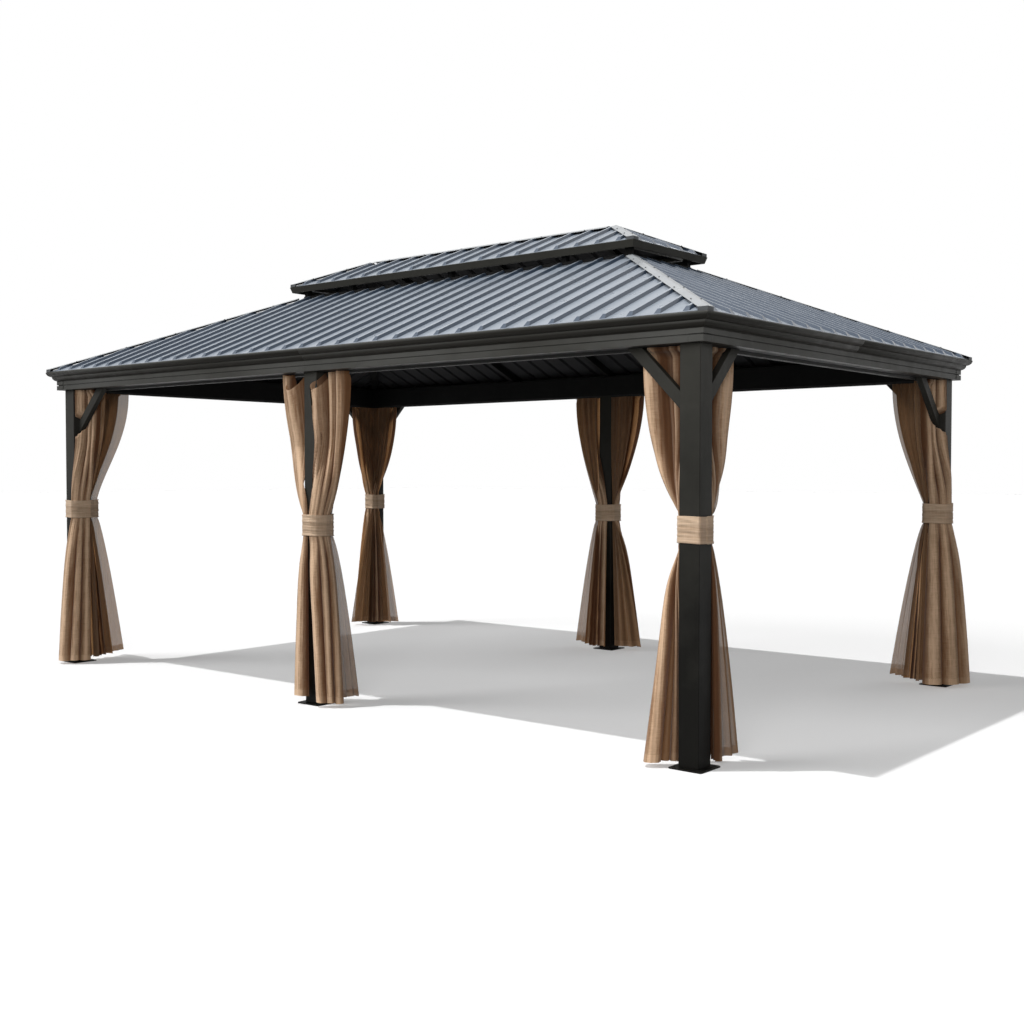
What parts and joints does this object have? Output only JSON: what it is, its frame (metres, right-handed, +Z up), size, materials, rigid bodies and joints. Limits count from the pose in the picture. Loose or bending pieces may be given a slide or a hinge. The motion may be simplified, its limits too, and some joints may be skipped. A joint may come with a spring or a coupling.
{
  "type": "hardtop gazebo",
  "caption": "Rectangular hardtop gazebo with a vented two-tier ribbed metal hip roof on square posts, with knee braces, a stepped cornice and tied-back curtains.",
  "frame": {"origin": "on the ground under the middle of the roof", "axes": "+X along the long sides, -Y towards the front, +Z up"},
  "size_m": [6.06, 3.63, 3.2164],
  "materials": {
    "frame_paint": "satin",
    "roof_steel": "satin",
    "cap_steel": "satin",
    "rail_aluminium": "satin",
    "curtain_fabric": "matte",
    "tie_back_fabric": "matte"
  },
  "bodies": {
    "root": {"back_beam": "frame_paint", "back_cornice": "frame_paint", "back_roof_sheet": "roof_steel", "back_upper_sheet": "roof_steel", "base_plates": "frame_paint", "braces_back_left": "frame_paint", "braces_back_right": "frame_paint", "braces_front_left": "frame_paint", "braces_front_right": "frame_paint", "cornice_corner_caps": "frame_paint", "curtain_rails": "rail_aluminium", "curtains_back_left": "curtain_fabric", "curtains_back_middle": "curtain_fabric", "curtains_back_right": "curtain_fabric", "curtains_front_left": "curtain_fabric", "curtains_front_middle": "curtain_fabric", "curtains_front_right": "curtain_fabric", "front_beam": "frame_paint", "front_cornice": "frame_paint", "front_roof_sheet": "roof_steel", "front_upper_sheet": "roof_steel", "hip_caps": "cap_steel", "hip_rafters": "frame_paint", "left_beam": "frame_paint", "left_cornice": "frame_paint", "left_roof_sheet": "roof_steel", "left_upper_sheet": "roof_steel", "post_back_left": "frame_paint", "post_back_middle": "frame_paint", "post_back_right": "frame_paint", "post_front_left": "frame_paint", "post_front_middle": "frame_paint", "post_front_right": "frame_paint", "rafters": "frame_paint", "ridge_beam": "frame_paint", "ridge_cap": "cap_steel", "right_beam": "frame_paint", "right_cornice": "frame_paint", "right_roof_sheet": "roof_steel", "right_upper_sheet": "roof_steel", "tie_backs": "tie_back_fabric", "upper_fascia": "frame_paint", "upper_hip_caps": "cap_steel", "upper_plate": "frame_paint", "upper_rafters": "frame_paint", "vent_curb": "frame_paint", "vent_posts": "frame_paint"}
  },
  "joints": []
}
